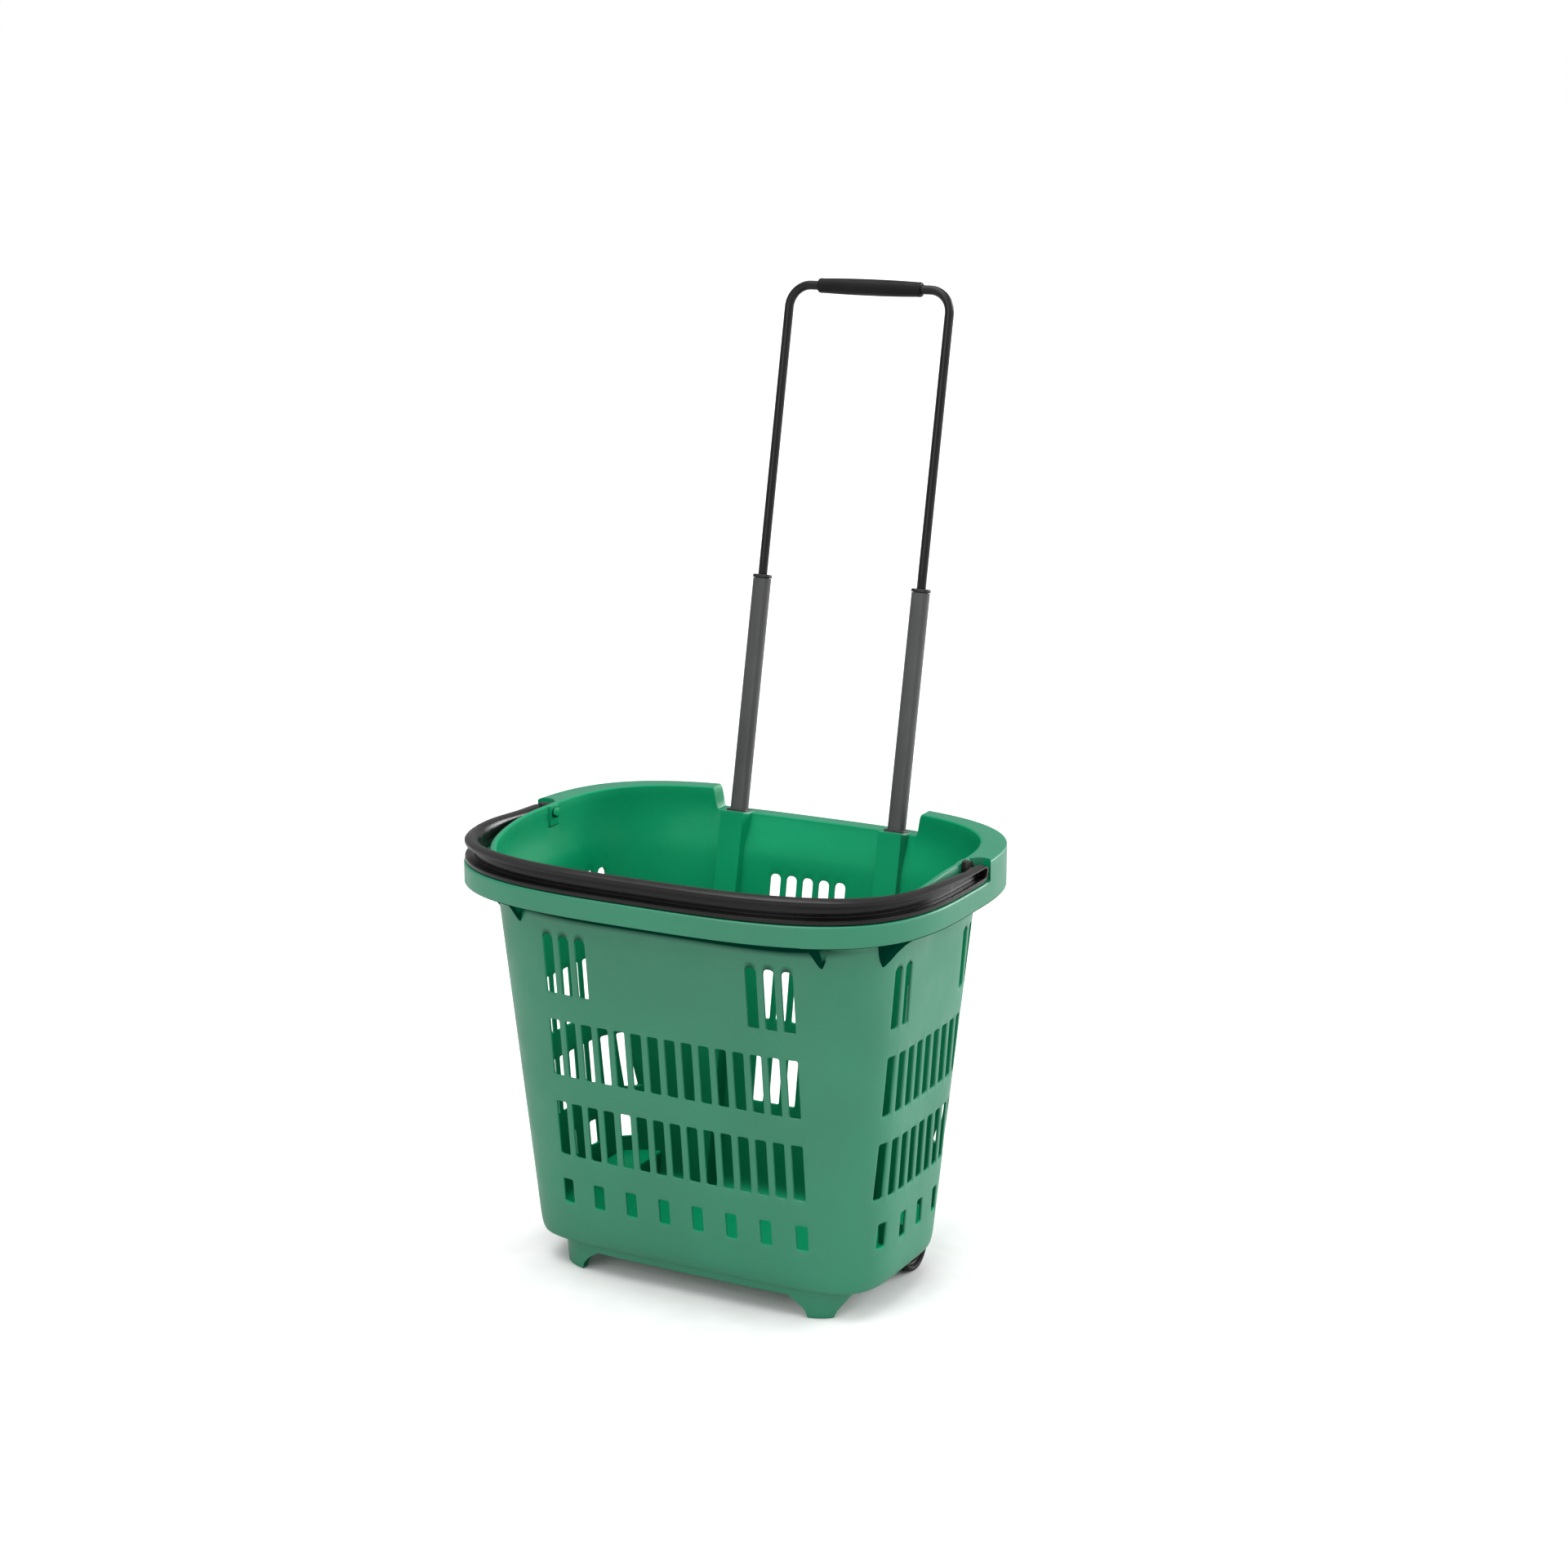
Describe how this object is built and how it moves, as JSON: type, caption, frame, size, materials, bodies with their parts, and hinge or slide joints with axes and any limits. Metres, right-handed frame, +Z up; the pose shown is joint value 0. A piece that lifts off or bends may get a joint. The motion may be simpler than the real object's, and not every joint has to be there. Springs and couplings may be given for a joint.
{
  "type": "rolling shopping basket",
  "caption": "Tapered slotted plastic shopping basket with a folding bail carry handle, a two-stage telescopic tow handle, rear wheels and front feet.",
  "frame": {"origin": "bottom centre of the whole object's box at rest, with the tow handle extended and the bail folded to the front", "axes": "+Z up, +Y to the back (tow handle side), +X to the right seen from the front"},
  "size_m": [0.465, 0.4468, 0.8775],
  "materials": {
    "basket_plastic": "green moulded polypropylene, satin with a fine grain",
    "handle_plastic": "black moulded polypropylene, semi-gloss",
    "grip_plastic": "black moulded grip, satin",
    "rod_coat": "black coated steel rod, semi-gloss",
    "tube_coat": "dark grey coated flat-oval tube, satin",
    "fitting_plastic": "black moulded nylon",
    "hub_plastic": "black moulded wheel centre",
    "tyre_rubber": "black rubber, matt",
    "steel": "zinc-plated steel"
  },
  "bodies": {
    "basket": {"basket_shell": "basket_plastic", "guide_collar_left": "fitting_plastic", "guide_collar_right": "fitting_plastic", "collar_screw_left": "steel", "collar_screw_right": "steel", "handle_pin_left": "rod_coat", "handle_pin_right": "rod_coat", "handle_clip_left": "fitting_plastic", "handle_clip_right": "fitting_plastic", "wheel_axle": "steel", "axle_cap_left": "fitting_plastic", "axle_cap_right": "fitting_plastic"},
    "carry_handle": {"carry_handle": "handle_plastic"},
    "tube_left": {"mid_tube_left": "tube_coat", "tube_cap_left": "fitting_plastic", "tube_slider_left": "fitting_plastic", "slider_rivet_left": "steel"},
    "tube_right": {"mid_tube_right": "tube_coat", "tube_cap_right": "fitting_plastic", "tube_slider_right": "fitting_plastic", "slider_rivet_right": "steel"},
    "tow_rod": {"tow_rod": "rod_coat", "tow_grip": "grip_plastic", "rod_plug_left": "fitting_plastic", "rod_plug_right": "fitting_plastic", "plug_rivet_left": "steel", "plug_rivet_right": "steel"},
    "wheel_left": {"wheel_hub_left": "hub_plastic", "wheel_tyre_left": "tyre_rubber", "wheel_washer_left": "steel"},
    "wheel_right": {"wheel_hub_right": "hub_plastic", "wheel_tyre_right": "tyre_rubber", "wheel_washer_right": "steel"}
  },
  "joints": [
    {"name": "carry_handle_swing", "type": "hinge", "parent": "basket", "child": "carry_handle", "pos_m": [0, -0.01993, 0.3964], "axis": [-1, 0, 0], "range_deg": [0, 94]},
    {"name": "tube_left_slide", "type": "slide", "parent": "basket", "child": "tube_left", "axis": [0, 0.2113, 0.9774], "range_m": [-0.207, 0]},
    {"name": "tube_right_slide", "type": "slide", "parent": "basket", "child": "tube_right", "axis": [0, 0.2113, 0.9774], "range_m": [-0.207, 0]},
    {"name": "tow_rod_slide", "type": "slide", "parent": "tube_left", "child": "tow_rod", "axis": [0, 0.2113, 0.9774], "range_m": [-0.211, 0]},
    {"name": "wheel_left_spin", "type": "hinge", "parent": "basket", "child": "wheel_left", "pos_m": [-0.145, 0.01307, 0.025], "axis": [1, 0, 0], "continuous": true},
    {"name": "wheel_right_spin", "type": "hinge", "parent": "basket", "child": "wheel_right", "pos_m": [0.145, 0.01307, 0.025], "axis": [1, 0, 0], "continuous": true}
  ],
  "couplings": [
    {"joint": "tube_right_slide", "follows": "tube_left_slide", "ratio": 1}
  ]
}
